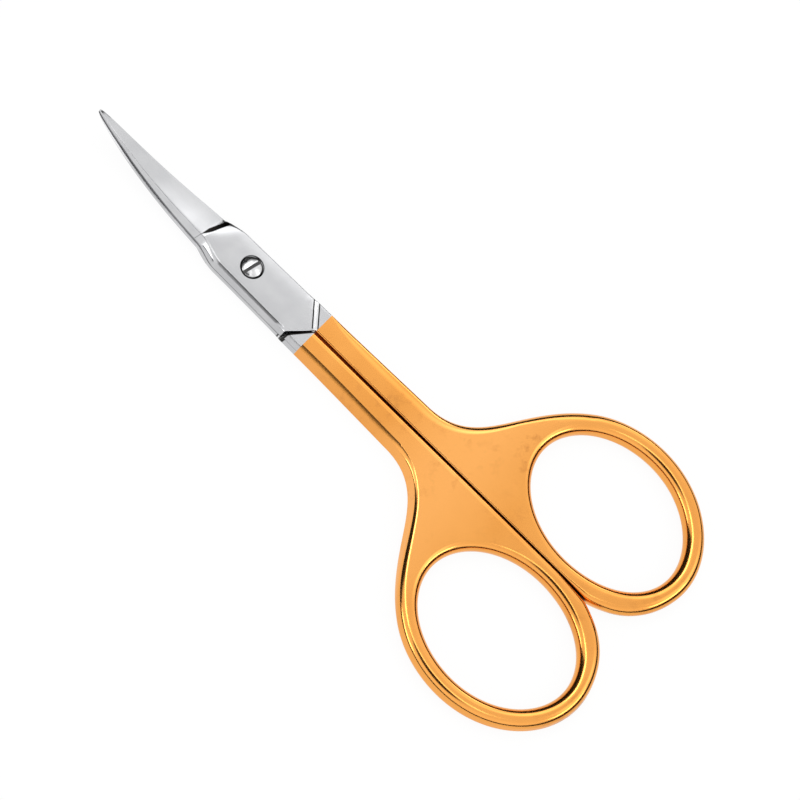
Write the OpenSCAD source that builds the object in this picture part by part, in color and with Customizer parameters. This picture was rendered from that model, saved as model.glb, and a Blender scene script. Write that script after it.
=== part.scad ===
// Manicure scissors with curved blades and gold-plated finger rings.
// Two crossed halves turn on one slotted pivot screw. Each half is polished steel from its tip
// to the plating line and gold-plated from there to the end of its finger ring.
// X runs from the pivot to the tips and Z points up, out of the screw head. The pivot axis is
// X = 0, Y = 0, and Z = 0 is the plane that the closed pair lies on.
// The upper half carries the screw head and has its ring at -Y. The lower half has its ring at +Y.

/* [Whole] */
// Thickness of the handles
thick = 2.4; // [2:0.1:3]
// Gap between the two halves where they slide on each other
slide_gap = 0.08; // [0.04:0.01:0.12]
// Distance from the pivot to the centre line of the closed pair
centre_offset = 0.25; // [0:0.05:0.4]

/* [Blades] */
// Distance from the pivot to the tips
blade_len = 25.7; // [22:0.1:30]
// Distance from the pivot to the line where the ridge begins
blade_start = 7; // [6.4:0.1:8]
// Half width of a blade at that line, on its cutting side
blade_half = 2.3; // [2.1:0.05:2.6]
// Half width left at the very tip
tip_half = 0.12; // [0.1:0.01:0.2]
// Distance that each cutting edge stands out past the back of the other blade
edge_lap = 0.4; // [0.2:0.05:0.6]
// Height left at the tip of the ridge
tip_height = 0.3; // [0.2:0.05:0.5]
// Distance from the pivot to the start of the upward curve
curve_start = 10; // [9:0.5:14]
// Radius of the upward curve
curve_radius = 44; // [30:1:80]
// Depth of the hollow ground into each inner face
hollow = 0.05; // [0.02:0.01:0.1]
// Width of the bevel along the cutting edge
edge_bevel = 0.1; // [0.05:0.01:0.2]

/* [Joint] */
// Half width of the joint at the pivot
joint_half = 2.97; // [2.7:0.01:3.1]
// Depth of the joint's ground face under the faces of the handles
joint_drop = 0.12; // [0.05:0.01:0.2]
// Distance from the pivot to the plating line
plating_dist = 10.7; // [10:0.1:12]
// Distance from the pivot to the outer corners of the V at the end of the joint
corner_dist = 8.1; // [7.5:0.1:8.8]
// Distance from the pivot to where the joint starts to narrow towards the blade
neck_dist = 3; // [2.4:0.1:3.6]
// Length of the neck
neck_len = 3.4; // [2.8:0.1:3.6]
// Distance from the pivot to the ground step, at the cutting edge
step_dist = 5.4; // [4.8:0.1:6]
// Length of the ground step's slope, at the cutting edge
step_len = 0.9; // [0.6:0.1:1.2]
// Gap between the end of one half's joint plate and the shoulder of the other half
shoulder_gap = 0.5; // [0.3:0.05:0.6]
// Width of the slope between the joint's ground face and the handle's face
slope_width = 0.3; // [0.2:0.05:0.5]

/* [Shanks] */
// Half width of the closed pair at the plating line
shank_half = 3.12; // [3:0.01:3.4]
// Half width of the closed pair where the flare starts
root_half = 3.5; // [3.4:0.05:4]
// Distance from the pivot to the start of the flare
root_dist = 26; // [24:0.5:28]
// Gap between the shanks at the plating line
split_gap = 0.28; // [0.2:0.02:0.4]
// Gap between the finger rings where they lie side by side
ring_gap = 0.12; // [0.08:0.02:0.2]
// Rounding of the edges at the plating line
edge_joint = 0.28; // [0.2:0.02:0.4]
// Rounding of the edges where the flare starts
edge_root = 0.8; // [0.5:0.05:1]

/* [Finger rings] */
// Length of the hole in a finger ring
hole_len = 21.35; // [19:0.1:23]
// Width of the hole in a finger ring
hole_wid = 17; // [15:0.05:18]
// Distance from the pivot to the middle of the hole
hole_dist = 50.55; // [48:0.05:54]
// Distance from the centre line to the middle of the hole
hole_side = 10.57; // [10.3:0.01:11.4]
// Distance that the far end of the hole leans towards the centre line
hole_lean = 0.4; // [0:0.05:1]
// Width of the band round the hole
band = 2.55; // [2.4:0.05:3]
// Extra width of the band where the two rings part
heel = 0.42; // [0.2:0.02:0.6]
// Rounding of the ring's edges
edge_ring = 1.2; // [0.9:0.05:1.25]
// Rounding of the edge at the middle of the flare
edge_flare = 1; // [0.6:0.05:1.1]
// Distance from the pivot to the middle of the flare
flare_dist = 35; // [34.2:0.1:36.2]
// Half width of the closed pair at the middle of the flare
flare_half = 10.35; // [9.5:0.05:11]

/* [Pivot screw] */
// Diameter of the screw's shank
screw_d = 2; // [1.8:0.05:2.1]
// Diameter of the screw's head
head_d = 2.6; // [2.4:0.05:2.8]
// Height of the head's straight rim
head_rim = 0.3; // [0.2:0.05:0.35]
// Depth of the cone under the head
head_cone = 0.25; // [0.15:0.05:0.3]
// Height of the dome on the head
head_dome = 0.25; // [0.15:0.05:0.3]
// Width of the slot
slot_w = 0.42; // [0.3:0.02:0.5]
// Depth of the slot
slot_depth = 0.38; // [0.25:0.01:0.45]
// Direction of the slot, from the line of the blades
slot_angle = 78; // [0:1:179]
// Running gap round the screw in the upper half
turn_gap = 0.03; // [0.02:0.01:0.06]
// Gap round the screw in the lower half's tapped hole
thread_gap = 0.01; // [0.01:0.01:0.03]
// Distance that the screw's end lies inside the lower face
end_recess = 0.04; // [0.02:0.01:0.1]

/* [Hidden] */

// Facets and steps
$fn = 64;
edge_steps = 4;
face_steps = 3;
neck_steps = 7;
blade_steps = 26;
ring_step = 5;
flare_steps = 8;
shank_steps = 3;

// Shares of the sizes that they follow
step_slope_share = 8;
blade_taper_share = 0.62;
ridge_place_share = 0.62;
ridge_fall_share = 1.4;
flank_share = 0.5;
back_wall_share = 0.38;
joint_edge_share = 0.8;
leg_edge_share = 0.5;
tip_crowding_share = 1.5;
ring_wall_share = 0.92;
flare_start_share = 3.6 / 10.5;
flare_end_share = 4 / 11.1;
root_pull_share = 5 / 11.1;
lap_fade_share = 0.46;
base_lap_share = 0.6;
flare_wall_share = 0.8;

// Heights from the middle plane of the closed pair
half = thick / 2;
mid_z = half;
face_h = half - joint_drop;
mate_h = slide_gap / 2;

// Lengths that follow from the sizes above
overrun = thick;
apex_inset = edge_joint / 2;
shoulder_face = slide_gap / 3;
plating_x = -plating_dist;
corner_x = -corner_dist;
apex_x = plating_x + apex_inset;
apex_w = split_gap / 2;
step_heel = blade_start + step_len / step_slope_share;
cone_floor = half - joint_drop - head_rim - head_cone;
hole_a = hole_len / 2;
hole_b = hole_wid / 2;
hole_x = -hole_dist;

// Angles round the hole, from its end by the shank, through its outer side
flare_angle = 45;
far_angle = 180;
heel_angle = 228;
heel_spread = 40;
rest_angle = 270;
web_angle = 315;
flank_slope = 60;

// Blends and curves
function mix(a, b, t) = a + (b - a) * t;
function clamp(t) = max(0, min(1, t));
function smooth(t) = let(c = clamp(t)) c * c * (3 - 2 * c);
function unit(v) = v / norm(v);
function bezier(a, b, c, d, t) =
    let(s = 1 - t) a * s * s * s + b * 3 * s * s * t + c * 3 * s * t * t + d * t * t * t;
function soft_min(a, b, round) = (a + b - sqrt((a - b) * (a - b) + round * round)) / 2;

// The blades bend up on a surface that is round about the pivot, so that they slide when turned
function rise(r) =
    r <= curve_start ? 0 : curve_radius - sqrt(curve_radius * curve_radius - (r - curve_start) * (r - curve_start));

// Half widths of the closed pair, and its split, at a distance x along it
function shank_w(x) =
    mix(shank_half, root_half, (plating_x - x) / (root_dist - plating_dist));
function split_w(x) =
    mix(split_gap, ring_gap, clamp((plating_x - x) / (hole_dist - plating_dist))) / 2;
function joint_w(x) =
    mix(joint_half, shank_half, -x / plating_dist);

// A blade's half width on its cutting side and on its back, and the place and height of its ridge
function blade_share(x) = max(0, (blade_len - x) / (blade_len - blade_start));
function cut_w(x) = tip_half + (blade_half - tip_half) * pow(blade_share(x), blade_taper_share);
function back_w(x) = let(c = cut_w(x)) c - edge_lap * min(1, c / (lap_fade_share * blade_half)) * mix(1, base_lap_share, c / blade_half);
function ridge_w(x) = ridge_place_share * back_w(x);
function ridge_h(x) =
    mix(face_h, tip_height, pow(clamp((x - blade_start) / (blade_len - blade_start)), ridge_fall_share));

// The half's own places: x along it, w across it towards its ring, h out from the middle plane
function place(side, x, w, h) =
    let(y = centre_offset - side * w) [x, y, mid_z + rise(norm([x, y])) + side * h];

// One rounded edge of a section: steps from the side wall to the face, as [inset, height]
function edge(inset, height, crown) = [for (i = [0:edge_steps])
    let(t = i / edge_steps, a = 90 * t)
    [inset * mix(t, 1 - cos(a), crown), height * mix(t, sin(a), crown)]];

// A section across a half, from its back [x, w] to its cutting side [x, w].
// back_edge and cut_edge are each [inset, height, crown]; low is the height of the underside.
function section(side, back, cut, back_top, cut_top, back_edge, cut_edge, low, low_edge, relief) =
    let(
        top_b = edge(back_edge[0], back_edge[1], back_edge[2]),
        top_c = edge(cut_edge[0], cut_edge[1], cut_edge[2]),
        under_in = min(edge_joint, (cut[1] - back[1]) / 4),
        under = edge(under_in, low_edge, 1),
        back_in = back[1] + back_edge[0],
        cut_in = cut[1] - cut_edge[0],
        under_b = back[1] + under_in,
        under_c = cut[1] - under_in,
        flat = concat(
            [for (i = [edge_steps:-1:0]) [back[1] + under[i][0], low + low_edge - under[i][1]]],
            [for (p = top_b) [back[1] + p[0], back_top - back_edge[1] + p[1]]],
            [for (i = [1:face_steps]) let(t = i / (face_steps + 1))
                [mix(back_in, cut_in, t), mix(back_top, cut_top, t)]],
            [for (i = [edge_steps:-1:0]) [cut[1] - top_c[i][0], cut_top - cut_edge[1] + top_c[i][1]]],
            [for (p = under) [cut[1] - p[0], low + low_edge - p[1]]],
            [for (i = [1:face_steps]) let(t = i / (face_steps + 1))
                [mix(under_c, under_b, t), low + relief * sin(180 * t)]]))
    [for (p = flat)
        place(side, mix(back[0], cut[0], (p[0] - back[1]) / (cut[1] - back[1])), p[0], p[1])];

// The straight leg of the V, from the split to the joint's corner on the back
function leg_w(x) = mix(apex_w, -joint_w(corner_x), clamp((x - apex_x) / (corner_x - apex_x)));

// Sections of the steel part of a half, from the plating line to the tip
function stub_rows(side) =
    let(full = [edge_joint, edge_joint, 1],
        leg = [leg_edge_share * edge_joint, leg_edge_share * edge_joint, 1],
        wall = [shoulder_face, 0],
        slope = [slope_width, 0],
        shoulder = [corner_x - shoulder_gap, joint_w(corner_x)])
    [
        section(side, [plating_x, apex_w], [plating_x, shank_half], half, half, full, full,
            -half, edge_joint, 0),
        section(side, [apex_x, apex_w], shoulder, half, half, leg, full,
            -half, edge_joint, 0),
        section(side, [apex_x + wall[0], leg_w(apex_x + wall[0])], shoulder + wall,
            half, half, leg, full, mate_h, 0, 0),
        section(side, [apex_x + slope[0], leg_w(apex_x + slope[0])], shoulder + slope,
            face_h, face_h, leg, full, mate_h, 0, 0),
        section(side, [corner_x, -joint_w(corner_x)], [corner_x + slope_width, joint_w(corner_x)],
            face_h, face_h, leg, full, mate_h, 0, 0),
        section(side, [corner_x + slope_width, -joint_w(corner_x)],
            [corner_x + 2 * slope_width, joint_w(corner_x)],
            face_h, face_h, full, full, mate_h, 0, 0),
        section(side, [0, -joint_half], [0, joint_half], face_h, face_h, full, full, mate_h, 0, 0)
    ];

// The neck narrows on the back and ends at the top of the ground step
function neck_rows(side) = [for (i = [0:neck_steps])
    let(
        t = i / neck_steps,
        xb = mix(neck_dist, blade_start, t),
        xc = mix(neck_dist, step_dist, t),
        necked = smooth((xb - neck_dist) / neck_len),
        ridged = smooth(t),
        w_b = mix(joint_w(xb), back_w(xb), necked),
        w_c = mix(joint_w(xc), cut_w(xc), smooth((xc - neck_dist) / neck_len)),
        top_in = mix(edge_joint, back_w(xb) - ridge_w(xb), ridged),
        top_down = mix(edge_joint, (1 - back_wall_share) * face_h, ridged))
    section(side, [xb, -w_b], [xc, w_c], face_h, face_h,
        [top_in, top_down, 1 - ridged], [joint_edge_share * edge_joint, joint_edge_share * edge_joint, 1],
        mate_h, 0, hollow * ridged)];

// The blade: a ridge, a broad ground face down to the cutting edge and a sloping back
function blade_rows(side) = [for (i = [0:blade_steps])
    let(
        t = 1 - pow(1 - i / blade_steps, tip_crowding_share),
        xb = mix(step_heel, blade_len, t),
        xc = mix(step_dist + step_len, blade_len, t),
        high = ridge_h(xb),
        flank = flank_share * ridge_h(xc),
        bevel = min(edge_bevel, cut_w(xc) / 2, (flank - mate_h) / 2),
        fade = clamp(back_w(xb) / edge_joint / 2))
    section(side, [xb, -back_w(xb)], [xc, cut_w(xc)], high, flank,
        [back_w(xb) - ridge_w(xb), (1 - back_wall_share) * high, 0],
        [bevel, bevel, 0], mate_h, 0, hollow * fade)];

// Four-sided faces as pairs of triangles
function halves(quads) = [for (q = quads, f = [1:2]) [q[0], q[f], q[f + 1]]];
function turned(quads) = [for (q = quads) [q[3], q[2], q[1], q[0]]];

// A skin over the sections. Its two ends are closed by strips between their upper and lower sides.
module loft(rows) {
    count = len(rows[0]);
    last = (len(rows) - 1) * count;
    wall = edge_steps;
    sides = [for (a = [0:count:last - 1], k = [0:count - 1])
        let(n = (k + 1) % count, b = a + count) [a + k, b + k, b + n, a + n]];
    end = [for (k = [1:count / 2 - 1])
        let(top = wall + k, low = (wall - k + 1 + count) % count)
        [low, top, top + 1, (low - 1 + count) % count]];
    polyhedron(points = [for (r = rows, p = r) p],
        faces = halves(concat(sides, end, turned([for (q = end) [for (v = q) last + v]]))));
}

module steel_half(side) {
    loft(concat(stub_rows(side), neck_rows(side), blade_rows(side)));
}

// The hole in a finger ring, its outward normal, and the outer side of the band
function hole_at(a) = [
    hole_x + hole_a * cos(a),
    hole_side + hole_b * sin(a) - hole_lean * pow(max(0, -cos(a)), 2)];
function hole_normal(a) = unit([cos(a) / hole_a, sin(a) / hole_b]);
function band_at(a) = band + heel * smooth(1 - abs(a - heel_angle) / heel_spread);
function wall_at(a) = (hole_at(a)[1] - split_w(hole_at(a)[0])) / -hole_normal(a)[1];
function reach(a) =
    a <= far_angle + ring_step ? band_at(a) :
    a >= rest_angle ? wall_at(a) :
    soft_min(band_at(a), wall_at(a), ring_gap * clamp((rest_angle - a) / heel_spread));
function ring_at(a) = hole_at(a) + reach(a) * hole_normal(a);

// The outline of a handle, each point as [x, w, inset, height of the rounding]
ring_angles = [for (a = [web_angle:-ring_step:flare_angle]) a];
web_angles = [for (i = [1:2 * flare_steps - 1]) flare_angle * (1 - i / flare_steps)];
ring_height = ring_wall_share * half;
flare_height = flare_wall_share * half;
flare_pt = [-flare_dist, flare_half];
flare_dir = [cos(flank_slope), -sin(flank_slope)];
root_pt = [-root_dist, root_half];
flare_out = ring_at(flare_angle);
flare_turn = [hole_normal(flare_angle)[1], -hole_normal(flare_angle)[0]];
outer_run = norm(flare_pt - flare_out);
inner_run = norm(root_pt - flare_pt);
split_end = ring_at(web_angle)[0];

flare_line = [for (i = [1:flare_steps])
    let(t = i / flare_steps,
        p = bezier(flare_out, flare_out + flare_start_share * outer_run * flare_turn,
            flare_pt - flare_start_share * outer_run * flare_dir, flare_pt, t))
    [p[0], p[1], mix(edge_ring, edge_flare, t), mix(ring_height, flare_height, t)]];
shank_line = concat(
    [for (i = [1:flare_steps])
        let(t = i / flare_steps,
            p = bezier(flare_pt, flare_pt + flare_end_share * inner_run * flare_dir,
                root_pt - [root_pull_share * inner_run, 0], root_pt, t))
        [p[0], p[1], mix(edge_flare, edge_root, t), mix(flare_height, edge_root, t)]],
    [for (i = [1:shank_steps])
        let(t = i / shank_steps, x = mix(-root_dist, plating_x, t))
        [x, shank_w(x), mix(edge_root, edge_joint, t), mix(edge_root, edge_joint, t)]]);
split_xs = concat(
    [for (i = [len(shank_line) - 1:-1:0]) shank_line[i][0]],
    [for (i = [0:flare_steps - 1]) mix(flare_pt[0], split_end, i / flare_steps)]);

outline = concat(
    [for (x = split_xs) [x, split_w(x), edge_joint, edge_joint]],
    [for (a = ring_angles)
        let(t = smooth((rest_angle - a) / heel_spread), p = ring_at(a))
        [p[0], p[1], mix(edge_joint, edge_ring, t), mix(edge_joint, ring_height, t)]],
    flare_line,
    shank_line);

// The hole's rim, in the same form, first beside the band and then along the web
hole_rim = [for (a = concat(ring_angles, web_angles))
    let(p = hole_at(a)) [p[0], p[1], edge_ring, ring_height]];

// Points down the side of an outline at one place, from the top face to the bottom face
function side_column(p, out) =
    let(e = edge(p[2], p[3], 1))
    concat(
        [for (i = [edge_steps:-1:0]) [p[0] - e[i][0] * out[0], p[1] - e[i][0] * out[1], half - p[3] + e[i][1]]],
        [for (i = [0:edge_steps]) [p[0] - e[i][0] * out[0], p[1] - e[i][0] * out[1], p[3] - half - e[i][1]]]);

function outline_normal(i) =
    i == 0 ? [0, -1] :
    i == len(outline) - 1 ? [0, 1] :
    let(d = outline[i + 1] - outline[i - 1]) unit([-d[1], d[0]]);

function rim_normal(i) = let(a = concat(ring_angles, web_angles)[i]) -hole_normal(a);

// The handle's faces are strips: round its outside, round the hole's rim, over the band, and over
// the web in three parts: beside the flare, beside the split, and along the shank
module handle_half() {
    rows = 2 * (edge_steps + 1);
    low = rows - 1;
    outer_n = len(outline);
    rim_n = len(hole_rim);
    rim = outer_n * rows;
    first = len(split_xs);
    pairs = len(ring_angles);
    shank_n = len(shank_line);
    points = concat(
        [for (i = [0:outer_n - 1], p = side_column(outline[i], outline_normal(i))) p],
        [for (i = [0:rim_n - 1], p = side_column(hole_rim[i], rim_normal(i))) p]);
    function out(i) = i * rows;
    function hole(i) = rim + (i % rim_n) * rows;
    outer_wall = [for (i = [0:outer_n - 2], k = [0:low - 1])
        [out(i) + k, out(i) + k + 1, out(i + 1) + k + 1, out(i + 1) + k]];
    rim_wall = [for (i = [0:rim_n - 1], k = [0:low - 1])
        [hole(i) + k, hole(i + 1) + k, hole(i + 1) + k + 1, hole(i) + k + 1]];
    band_top = [for (i = [0:pairs - 2])
        [out(first + i), out(first + i + 1), hole(i + 1), hole(i)]];
    flare_web = [for (i = [0:flare_steps - 1]) let(o = first + pairs - 1 + i, h = pairs - 1 + i)
        [out(o), out(o + 1), hole(h + 1), hole(h)]];
    split_web = [for (i = [0:flare_steps - 1]) let(o = first - flare_steps + i, h = rim_n - flare_steps + i)
        [out(o), out(o + 1), hole(h + 1), hole(h)]];
    shank_web = [for (i = [1:shank_n]) let(o = outer_n - i, s = i - 1)
        [out(o - 1), out(o), out(s), out(s + 1)]];
    middle = [hole(rim_n - flare_steps), out(outer_n - 1 - shank_n), out(shank_n)];
    plating_end = [for (k = [0:low - 1])
        [out(outer_n - 1) + k, out(outer_n - 1) + k + 1, k + 1, k]];
    top = concat(band_top, flare_web, split_web, shank_web);
    polyhedron(points = points, faces = concat(
        [middle, [middle[2] + low, middle[1] + low, middle[0] + low]],
        halves(concat(outer_wall, rim_wall, plating_end, top,
            turned([for (q = top) [for (v = q) v + low]])))));
}

// The pivot screw's outline, turned about the pivot: from below, the shank, the cone and the dome
module screw_profile(gap, top) {
    rotate_extrude() polygon([
        [0, -overrun],
        [screw_d / 2 + gap, -overrun],
        [screw_d / 2 + gap, mid_z + cone_floor - gap],
        [head_d / 2 + gap, mid_z + cone_floor + head_cone - gap],
        [head_d / 2 + gap, top],
        [0, top]
    ]);
}

module upper_blade() {
    color("silver") difference() {
        steel_half(1);
        screw_profile(turn_gap, thick + overrun);
    }
}

module lower_blade() {
    color("lightgray") difference() {
        steel_half(-1);
        translate([0, 0, -overrun])
            cylinder(d = screw_d + 2 * thread_gap, h = thick + 2 * overrun);
    }
}

module upper_handle() {
    color("goldenrod") translate([0, centre_offset, mid_z]) mirror([0, 1, 0]) handle_half();
}

module lower_handle() {
    color("gold") translate([0, centre_offset, mid_z]) handle_half();
}

module pivot_screw() {
    rim_top = mid_z + face_h;
    dome_r = (head_d * head_d / 4 + head_dome * head_dome) / (2 * head_dome);
    color("gainsboro") difference() {
        intersection() {
            screw_profile(0, rim_top + head_dome);
            translate([0, 0, rim_top + head_dome - dome_r]) sphere(r = dome_r);
        }
        rotate(slot_angle) translate([-head_d, -slot_w / 2, rim_top + head_dome - slot_depth])
            cube([2 * head_d, slot_w, overrun]);
        translate([0, 0, -2 * overrun])
            cylinder(r = head_d, h = 2 * overrun + joint_drop + end_recess);
    }
}

upper_blade();
upper_handle();
lower_blade();
lower_handle();
pivot_screw();
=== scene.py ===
# %% [markdown]
# # Manicure scissors with gold-plated handles
# The real thing is small and simple: two steel forgings that cross on one screw. Each forging has
# a thin curved blade, a flat joint plate, a slim shank and a finger ring. The blades are bare
# polished steel, and the handles are plated with gold. Nearly all of its looks come from
# reflections, so this lesson has two halves: smooth, exact surfaces, and a studio worth reflecting.
#
# The frame comes first. It brings in the measured model, which gives every piece its place.

# %% Load the frame
import math
import bpy
from mathutils import Matrix, Vector


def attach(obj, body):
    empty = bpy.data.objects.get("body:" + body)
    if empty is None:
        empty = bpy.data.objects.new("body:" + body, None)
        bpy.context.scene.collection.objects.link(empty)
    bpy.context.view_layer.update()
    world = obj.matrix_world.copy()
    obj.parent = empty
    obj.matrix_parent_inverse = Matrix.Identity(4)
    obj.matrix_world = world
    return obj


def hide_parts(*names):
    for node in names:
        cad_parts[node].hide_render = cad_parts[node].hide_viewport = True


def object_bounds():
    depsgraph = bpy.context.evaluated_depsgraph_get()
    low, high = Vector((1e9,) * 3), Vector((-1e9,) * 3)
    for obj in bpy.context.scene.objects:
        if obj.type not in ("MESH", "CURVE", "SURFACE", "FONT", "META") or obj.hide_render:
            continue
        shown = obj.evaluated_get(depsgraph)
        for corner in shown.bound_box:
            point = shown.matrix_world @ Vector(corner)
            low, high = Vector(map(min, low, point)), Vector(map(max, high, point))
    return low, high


MM = 0.001

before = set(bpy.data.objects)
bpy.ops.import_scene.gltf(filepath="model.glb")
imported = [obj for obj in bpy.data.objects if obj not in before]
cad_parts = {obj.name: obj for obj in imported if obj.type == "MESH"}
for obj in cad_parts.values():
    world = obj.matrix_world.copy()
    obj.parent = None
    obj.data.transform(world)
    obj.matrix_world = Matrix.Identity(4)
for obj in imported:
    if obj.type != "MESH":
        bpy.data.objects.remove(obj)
cad_low, cad_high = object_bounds()
print("whole object in mm:", [round((b - a) / MM, 2) for a, b in zip(cad_low, cad_high)])

# %% [markdown]
# ## The camera
# The photo looks down at the closed scissors from 25 degrees off the vertical, with the tips at
# the upper left. A long lens from half a metre keeps the perspective as flat as it is there. The
# camera is set from three directions: where it looks from, what is right and what is up.

# %% Place the camera
CAMERA_TILT = math.radians(25)
PHOTO_TURN = math.radians(44.6)
CAMERA_DISTANCE = 0.55
LENS, SENSOR = 209.5, 36
VIEW_CENTRE = Vector((-0.02346, -0.0009, 0.0029))

from_above = Vector((0, math.sin(CAMERA_TILT), math.cos(CAMERA_TILT)))
down_slope = Vector((0, math.cos(CAMERA_TILT), -math.sin(CAMERA_TILT)))
tips = Vector((1, 0, 0))
right = -math.cos(PHOTO_TURN) * tips - math.sin(PHOTO_TURN) * down_slope
up = math.sin(PHOTO_TURN) * tips - math.cos(PHOTO_TURN) * down_slope

camera_data = bpy.data.cameras.new("camera")
camera_data.lens = LENS
camera_data.sensor_width = SENSOR
camera_data.clip_start = 0.01
camera = bpy.data.objects.new("camera", camera_data)
bpy.context.collection.objects.link(camera)
camera.matrix_world = Matrix((right, up, from_above)).transposed().to_4x4()
camera.location = VIEW_CENTRE + CAMERA_DISTANCE * from_above
bpy.context.scene.camera = camera
bpy.context.scene.view_settings.view_transform = "Standard"
print("camera at", [round(c, 4) for c in camera.location])

# %% [markdown]
# ## A small language for shaders
# Shader maths reads best as plain sums. The class below wraps a node's output, so that
# `1 - mask * 0.5` adds the Math nodes by itself. Colours and every other node go through the one
# method `node`, which takes a type, settings and the values or links of its sockets.

# %% Wrap sockets for shader maths
class Wire:
    """One output of a node. Sums and products of wires add Math nodes to the same material."""

    def __init__(self, tree, socket):
        self.tree = tree
        self.socket = socket

    def node(self, kind, settings=None, out=0, **inputs):
        """Adds a node. An input goes by its name, or by its number as in _0."""
        made = self.tree.nodes.new(kind)
        for name, value in (settings or {}).items():
            setattr(made, name, value)
        for name, value in inputs.items():
            key = int(name[1:]) if name[0] == "_" else name.replace("_", " ")
            if isinstance(value, Wire):
                self.tree.links.new(value.socket, made.inputs[key])
            else:
                made.inputs[key].default_value = value
        return Wire(self.tree, made.outputs[out])

    def sibling(self, out):
        """Another output of the same node."""
        return Wire(self.tree, self.socket.node.outputs[out])

    def maths(self, operation, a, b=0.0):
        """Adds one Math node."""
        return self.node("ShaderNodeMath", {"operation": operation}, _0=a, _1=b)

    def __add__(self, other):
        return self.maths("ADD", self, other)

    def __radd__(self, other):
        return self.maths("ADD", other, self)

    def __sub__(self, other):
        return self.maths("SUBTRACT", self, other)

    def __rsub__(self, other):
        return self.maths("SUBTRACT", other, self)

    def __mul__(self, other):
        return self.maths("MULTIPLY", self, other)

    def __rmul__(self, other):
        return self.maths("MULTIPLY", other, self)

    def __abs__(self):
        return self.maths("ABSOLUTE", self)

    def clamped(self, low, high):
        return self.node("ShaderNodeMapRange", None, Value=self, From_Min=low, From_Max=high)

    def blend(self, first, second):
        """This wire as a mask: first where it is 0, second where it is 1. Both are colours."""
        return self.node("ShaderNodeMix", {"data_type": "RGBA"}, 2, _0=self, _6=first, _7=second)


print("wires can be added, subtracted, multiplied and blended")

# %% [markdown]
# Every finish needs a few nodes again and again: the place on the object, noise, and masks for
# lines and borders. The place is in metres from the pivot, so a mask can be written in real sizes.

# %% Name the nodes that every finish uses
def new_material(name):
    """An empty material, its shader node, and a wire with the place on the object in metres."""
    material = bpy.data.materials.new(name)
    material.use_nodes = True
    tree = material.node_tree
    shader = tree.nodes["Principled BSDF"]
    coordinates = tree.nodes.new("ShaderNodeTexCoord")
    return material, shader, Wire(tree, coordinates.outputs["Object"])


def plug(wire, shader, name):
    """Feeds one input of a shader from a wire."""
    wire.tree.links.new(wire.socket, shader.inputs[name])


def axes_of(place):
    """The x, y and z of a place, as three wires."""
    x = place.node("ShaderNodeSeparateXYZ", Vector=place)
    return [x.sibling(i) for i in range(3)]


def stretched(place, x, y, z):
    """The place with each axis scaled, for grain that runs one way. Scales are in waves a metre."""
    return place.node("ShaderNodeVectorMath", {"operation": "MULTIPLY"}, _0=place, _1=(x, y, z))


def from_pivot(place):
    """The distance from the pivot's axis, which is the object's own upright axis."""
    return place.node("ShaderNodeVectorMath", {"operation": "LENGTH"}, 1, _0=stretched(place, 1, 1, 0))


def noise(place, scale, detail, **more):
    return place.node("ShaderNodeTexNoise", Vector=place, Scale=scale, Detail=detail, **more)


def bump(height, strength, depth):
    return height.node("ShaderNodeBump", Strength=strength, Distance=depth, Height=height)


def below(value, limit, blur):
    """A mask of 1 where the value is under the limit, with a soft border."""
    return 1 - value.clamped(limit - blur, limit + blur)


def line(value, half, blur):
    """A mask of 1 where the value is nearer to 0 than half is, which draws a line."""
    return below(abs(value), half, blur)


print("shader helpers are ready")

# %% [markdown]
# ## Polished steel
# The blades and the joint plates are ground first and buffed afterwards. Buffing leaves a bright
# surface, with hair-fine lines that only show where a highlight ends. On the plates they run along
# the scissors, and on the blades they run across, the way the wheel passed. One mask along the
# object's length swaps the two, so a single material dresses the whole steel part.

# %% Lay the grain of the steel
STEEL = (0.56, 0.562, 0.572, 1)
STEEL_SHADE = (0.51, 0.512, 0.525, 1)
STEP_FROM, STEP_TO = 5.8 * MM, 6.8 * MM
LONG_GRAIN, FINE_GRAIN, CLOUDS = 300, 9000, 420.0
STEEL_ROUGH, GRAIN_ROUGH, GRAIN_DEPTH = 0.15, 0.05, 0.01 * MM

steel, shader, place = new_material("polished_steel")
shader.inputs["Metallic"].default_value = 1.0
x, y, z = axes_of(place)
on_blade = x.clamped(STEP_FROM, STEP_TO)
along = noise(stretched(place, LONG_GRAIN, FINE_GRAIN, FINE_GRAIN), 1.0, 2.0)
across = noise(stretched(place, FINE_GRAIN, LONG_GRAIN, LONG_GRAIN), 1.0, 2.0)
lines = along * (1 - on_blade) + across * on_blade
clouds = noise(place, CLOUDS, 3.0)
plug(STEEL_ROUGH + GRAIN_ROUGH * lines + GRAIN_ROUGH * clouds, shader, "Roughness")
plug(bump(lines, 0.05, GRAIN_DEPTH), shader, "Normal")
print("a grain line is", round(1 / FINE_GRAIN / MM, 2), "mm wide")

# %% [markdown]
# Dark lines are painted as shade where steel meets steel: round the sunk screw, between the two
# plates, and along the V behind them. The dark band along the ground step is a painted reflection.
# In the V one leg is a joint painted dark, and the other is the front of a half that rises, with
# its ground bevel painted pale as a painted highlight between two hairlines painted dark. Which leg
# is which changes with the half, and that follows from the signs of the place across and the
# height: on a half's own side the two have opposite signs.

# %% Paint shade and a highlight into the joints of the steel
# The pale steel colour below is a painted highlight on the ground bevel.
STEEL_HIGHLIGHT = (0.72, 0.722, 0.73, 1)
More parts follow.
